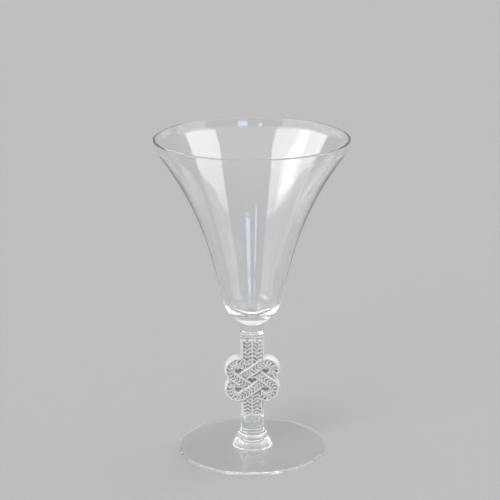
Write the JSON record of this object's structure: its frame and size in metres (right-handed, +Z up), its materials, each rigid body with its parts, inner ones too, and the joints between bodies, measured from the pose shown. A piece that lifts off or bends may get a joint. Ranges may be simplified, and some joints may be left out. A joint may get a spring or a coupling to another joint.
{
  "type": "drinking glass",
  "caption": "Stemmed drinking glass with a clear trumpet bowl, a frosted pressed stem with a woven strap knot, a ringed collar and a disc foot.",
  "frame": {"origin": "on the table, under the middle of the foot", "axes": "+Z up along the stem towards the rim, -Y out of the front face of the knot, +X to the right seen from the front"},
  "size_m": [0.098, 0.098, 0.165],
  "materials": {
    "bowl_glass": "clear, blown, fire polished",
    "stem_glass": "pressed; satin frosted on the knot and the shaft, clear and polished at both ends",
    "foot_glass": "clear, polished"
  },
  "bodies": {
    "root": {"bowl": "bowl_glass", "stem": "stem_glass", "stem_collar": "foot_glass", "foot": "foot_glass"}
  },
  "joints": []
}
